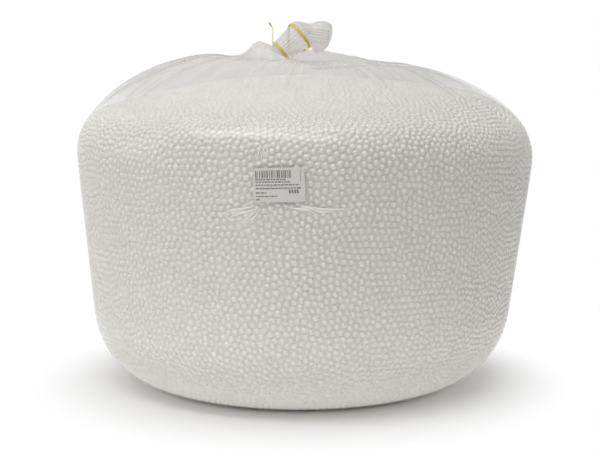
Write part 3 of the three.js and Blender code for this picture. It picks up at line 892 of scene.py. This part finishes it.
def tie_piece():
    """A thin coated strip with a wire along its middle, its flat side against the neck."""
    path = tie_path()
    tangent = np.gradient(path, axis=0)
    tangent /= np.linalg.norm(tangent, axis=1, keepdims=True)
    out = path - LOWER_TURN
    out = out - np.outer(out @ NECK_ALONG, NECK_ALONG)
    out = out - tangent * (out * tangent).sum(axis=1, keepdims=True)
    out /= np.linalg.norm(out, axis=1, keepdims=True)
    across = np.cross(out, tangent)
    sides = 14
    turn = 2 * math.pi * np.arange(sides) / sides
    wide = TIE_WIDTH / 2 * np.cos(turn)
    wire = np.exp(-(np.cos(turn) / WIRE_SHARE) ** 2)
    thick = TIE_THICKNESS / 2 * np.sin(turn) * lerp(TIE_EDGE, 1, wire)
    rings = path[:, None] + wide[None, :, None] * across[:, None] + thick[None, :, None] * out[:, None]
    points = np.concatenate([rings.reshape(-1, 3), path[:1], path[-1:]])
    last = len(path) * sides
    faces = np.concatenate([
        grid_faces(len(path), sides),
        fan_faces(last, 0, sides, False),
        fan_faces(last + 1, last - sides, sides, True),
    ])
    return mesh_object("wire_tie", points, faces)


# Print on the label

def label_point(across, up, lift):
    """A point on the label, by its place across and up on it."""
    height = LABEL_MIDDLE + up * math.cos(LABEL_ROLL) + across * math.sin(LABEL_ROLL)
    radius, _ = contact.at(np.interp(height, contact.height, contact.along))
    radius = radius + LABEL_FACE + lift
    angle = LABEL_ANGLE + (across * math.cos(LABEL_ROLL) - up * math.sin(LABEL_ROLL)) / radius
    return body_point(angle, radius, height)


def bar_code():
    """Plain upright bars of chance widths."""
    marks = []
    left = PRINT_LEFT
    while left < BARS_RIGHT:
        width = BAR_UNIT * chance.integers(1, 4)
        marks.append((left, left + width, *BAR_ENDS))
        left += width + BAR_UNIT * chance.integers(1, 4)
    return marks


def stroke_row(right, up):
    """A row of plain strokes in place of words."""
    marks = []
    left = PRINT_LEFT
    while left < right:
        width = min(chance.uniform(*STROKE_WIDTHS), right - left)
        marks.append((left, left + width, up - STROKE_HEIGHT / 2, up + STROKE_HEIGHT / 2))
        left += width + STROKE_GAP
    return marks


def print_marks():
    """Left, right, lower and upper edge of each mark."""
    marks = bar_code()
    for right, up in STROKE_ROWS:
        marks += stroke_row(right, up)
    for k in range(BLOCKS):
        left = BLOCK_LEFT + BLOCK_STEP * k
        marks.append((left, left + BLOCK_WIDTH, *BLOCK_ENDS))
    for k in range(EDGE_MARKS):
        low = EDGE_LOW + EDGE_STEP * k
        marks.append((*EDGE_SIDES, low, low + EDGE_HEIGHT))
    return marks


def print_piece():
    """Each mark is a thin flat block on the label's face."""
    points = []
    for left, right, low, high in print_marks():
        for lift in (-PRINT_THICKNESS, PRINT_THICKNESS):
            for across, up in ((left, low), (right, low), (right, high), (left, high)):
                points.append(label_point(across, up, lift))
    block = np.array([
        (0, 3, 2, 1), (4, 5, 6, 7), (0, 1, 5, 4), (1, 2, 6, 5), (2, 3, 7, 6), (3, 0, 4, 7),
    ])
    starts = 8 * np.arange(len(points) // 8)
    faces = (block[None] + starts[:, None, None]).reshape(-1, 4)
    return mesh_object("label_print", np.array(points), faces, smooth=False)


# Materials

def material(name, colour, roughness, **values):
    made = bpy.data.materials.new(name)
    made.use_nodes = True
    shader = made.node_tree.nodes["Principled BSDF"]
    shader.inputs["Base Color"].default_value = (*colour, 1)
    shader.inputs["Roughness"].default_value = roughness
    for socket, value in values.items():
        shader.inputs[socket.replace("_", " ")].default_value = value
    return made, made.node_tree, shader


def ramped(tree, source, shader, low, high):
    """The shader's colour between two, read from a value of 0 to 1."""
    ramp = tree.nodes.new("ShaderNodeValToRGB")
    ramp.color_ramp.elements[0].color = (*low, 1)
    ramp.color_ramp.elements[1].color = (*high, 1)
    tree.links.new(source, ramp.inputs["Fac"])
    tree.links.new(ramp.outputs["Color"], shader.inputs["Base Color"])


def noise(tree, scale, detail=3):
    made = tree.nodes.new("ShaderNodeTexNoise")
    made.inputs["Scale"].default_value = scale
    made.inputs["Detail"].default_value = detail
    place = tree.nodes.new("ShaderNodeTexCoord")
    tree.links.new(place.outputs["Object"], made.inputs["Vector"])
    return made


def bump(tree, source, shader, strength, distance):
    made = tree.nodes.new("ShaderNodeBump")
    made.inputs["Strength"].default_value = strength
    made.inputs["Distance"].default_value = distance
    tree.links.new(source, made.inputs["Height"])
    tree.links.new(made.outputs["Normal"], shader.inputs["Normal"])


def bead_material():
    made, tree, shader = material(
        "foam_bead", (0.90, 0.88, 0.85), 0.6, Coat_Weight=1.0, Coat_Roughness=0.22, Coat_IOR=1.8,
    )
    tone = tree.nodes.new("ShaderNodeAttribute")
    tone.attribute_name = "tone"
    ramped(tree, tone.outputs["Fac"], shader, (0.875, 0.847, 0.802), (0.945, 0.917, 0.872))
    return made


def core_material():
    # Painted shade: the packed mass is a little darker than the beads, for the shade on the deeper layer of
    # beads in the gaps.
    made, tree, shader = material("packed_beads", (0.86, 0.84, 0.805), 0.8)
    grain = noise(tree, 300)
    ramped(tree, grain.outputs["Fac"], shader, (0.82, 0.795, 0.755), (0.92, 0.895, 0.855))
    return made


def film_material(name, coat):
    """Clear film that turns white where it is hazy, a little uneven all over."""
    made, tree, shader = material(
        name, (0.80, 0.78, 0.745), 0.4, Coat_Weight=coat, Coat_Roughness=0.25, Coat_IOR=2.8,
    )
    haze = tree.nodes.new("ShaderNodeAttribute")
    haze.attribute_name = "haze"
    tree.links.new(haze.outputs["Fac"], shader.inputs["Alpha"])
    ramped(tree, haze.outputs["Fac"], shader, (0.76, 0.738, 0.708), (0.91, 0.888, 0.858))
    uneven = noise(tree, 24, 2)
    bump(tree, uneven.outputs["Fac"], shader, 0.5, 0.003)
    return made


def tie_material():
    made, tree, shader = material(
        "yellow_coating", (0.75, 0.53, 0.07), 0.38, Coat_Weight=0.4, Coat_Roughness=0.2,
    )
    wear = noise(tree, 260)
    ramped(tree, wear.outputs["Fac"], shader, (0.74, 0.54, 0.06), (0.88, 0.70, 0.14))
    return made


def paper_material():
    made, tree, shader = material("label_paper", (0.80, 0.79, 0.76), 0.55)
    fibre = noise(tree, 900, 4)
    ramped(tree, fibre.outputs["Fac"], shader, (0.82, 0.798, 0.765), (0.90, 0.878, 0.845))
    bump(tree, fibre.outputs["Fac"], shader, 0.15, 0.0001)
    return made


def ink_material():
    made, tree, shader = material("label_ink", (0.06, 0.06, 0.06), 0.6)
    fade = noise(tree, 1500)
    ramped(tree, fade.outputs["Fac"], shader, (0.13, 0.12, 0.11), (0.34, 0.32, 0.30))
    return made


# Stage

def camera():
    data = bpy.data.cameras.new("camera")
    data.sensor_fit = "HORIZONTAL"
    data.sensor_width = SENSOR
    data.lens = FOCAL_PIXELS * SENSOR / IMAGE_WIDTH
    eye = bpy.data.objects.new("camera", data)
    eye.location = CAMERA_PLACE
    eye.rotation_euler = (math.pi / 2 - CAMERA_PITCH, 0, 0)
    bpy.context.scene.collection.objects.link(eye)
    bpy.context.scene.camera = eye


def area_light(name, place, target, size, power):
    data = bpy.data.lights.new(name, "AREA")
    data.shape = "RECTANGLE"
    data.size, data.size_y = size
    data.energy = power
    lamp = bpy.data.objects.new(name, data)
    lamp.visible_camera = False
    lamp.location = place
    lamp.rotation_euler = (Vector(target) - Vector(place)).to_track_quat("-Z", "Y").to_euler()
    bpy.context.scene.collection.objects.link(lamp)


def math_node(tree, operation, first, second):
    made = tree.nodes.new("ShaderNodeMath")
    made.operation = operation
    tree.links.new(first, made.inputs[0])
    tree.links.new(second, made.inputs[1])
    return made.outputs[0]


def seen_directly(tree):
    """1 for rays from the camera and for those that a gloss or a clear surface sends on."""
    rays = tree.nodes.new("ShaderNodeLightPath").outputs
    shiny = math_node(tree, "MAXIMUM", rays["Is Glossy Ray"], rays["Is Transmission Ray"])
    return math_node(tree, "MAXIMUM", rays["Is Camera Ray"], shiny)


def ranged(tree, source, lowest, highest, **limits):
    made = tree.nodes.new("ShaderNodeMapRange")
    made.interpolation_type = "SMOOTHSTEP"
    made.inputs["To Min"].default_value = lowest
    made.inputs["To Max"].default_value = highest
    for socket, value in limits.items():
        made.inputs[socket.replace("_", " ")].default_value = value
    tree.links.new(source, made.inputs["Value"])
    return made.outputs["Result"]


def floor():
    """A pale floor that takes the shadow near the sack and is plain white further out."""
    half = FLOOR_HALF
    points = [(-half, -half, 0), (half, -half, 0), (half, half, 0), (-half, half, 0)]
    piece = mesh_object("floor", points, np.array([(0, 1, 2, 3)]))
    made, tree, shader = material("floor", (0.93, 0.93, 0.92), 0.8)
    place = tree.nodes.new("ShaderNodeNewGeometry")
    away = tree.nodes.new("ShaderNodeVectorMath")
    away.operation = "LENGTH"
    tree.links.new(place.outputs["Position"], away.inputs[0])
    start, end = FLOOR_FADE
    far = ranged(tree, away.outputs["Value"], 0, 1, From_Min=start, From_Max=end)
    glow = tree.nodes.new("ShaderNodeEmission")
    mix = tree.nodes.new("ShaderNodeMixShader")
    tree.links.new(math_node(tree, "MULTIPLY", far, seen_directly(tree)), mix.inputs["Fac"])
    tree.links.new(shader.outputs["BSDF"], mix.inputs[1])
    tree.links.new(glow.outputs["Emission"], mix.inputs[2])
    tree.links.new(mix.outputs["Shader"], tree.nodes["Material Output"].inputs["Surface"])
    piece.data.materials.append(made)


def world():
    """White behind the object, and an even soft light on it."""
    made = bpy.data.worlds.new("world")
    bpy.context.scene.world = made
    made.use_nodes = True
    tree = made.node_tree
    sky = tree.nodes["Background"]
    sky.inputs["Color"].default_value = (1, 1, 1, 1)
    tree.links.new(ranged(tree, seen_directly(tree), AMBIENT, 1), sky.inputs["Strength"])


def place_piece(piece, made, slot, *nodes):
    piece.data.materials.append(made)
    if nodes:
        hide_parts(*nodes)
    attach(piece, "root")


bpy.context.scene.view_settings.view_transform = "Standard"
camera()
world()
floor()
for lamp in LAMPS:
    area_light(*lamp)

packing = Packing()
foam = bead_material()
zones = {"beads_foot": 0, "beads_low_wall": 0.40, "beads_high_wall": 0.57, "beads_heap": 0.72}
limits = [*zones.values(), 1.01]
for name, low, high in zip(zones, limits, limits[1:]):
    share = packing.along / heap.length
    piece = bead_piece(name, packing, np.flatnonzero((share >= low) & (share < high)))
    place_piece(piece, foam, "beads")
place_piece(core_piece(), core_material(), "beads", "bead_fill")

clear = film_material("clear_film", 1.0)
upper = UpperFilm()
film = film_piece(packing, upper)
place_piece(film, clear, "film", "film_bag")
folded = film_material("folded_film", 0.15)
film.data.materials.append(folded)
film.visible_shadow = False
plies = [ply_piece(upper, k + 1) for k in range(PLIES)]
for piece, made in (*((ply, folded) for ply in plies), (heel_piece(), folded), (fold_piece(), clear)):
    place_piece(piece, made, "film")
    piece.visible_shadow = False
place_piece(tie_piece(), tie_material(), "tie", "neck_tie")
place_piece(print_piece(), ink_material(), "label")
label = frame["nodes"]["label"]
label.data.materials.clear()
label.data.materials.append(paper_material())
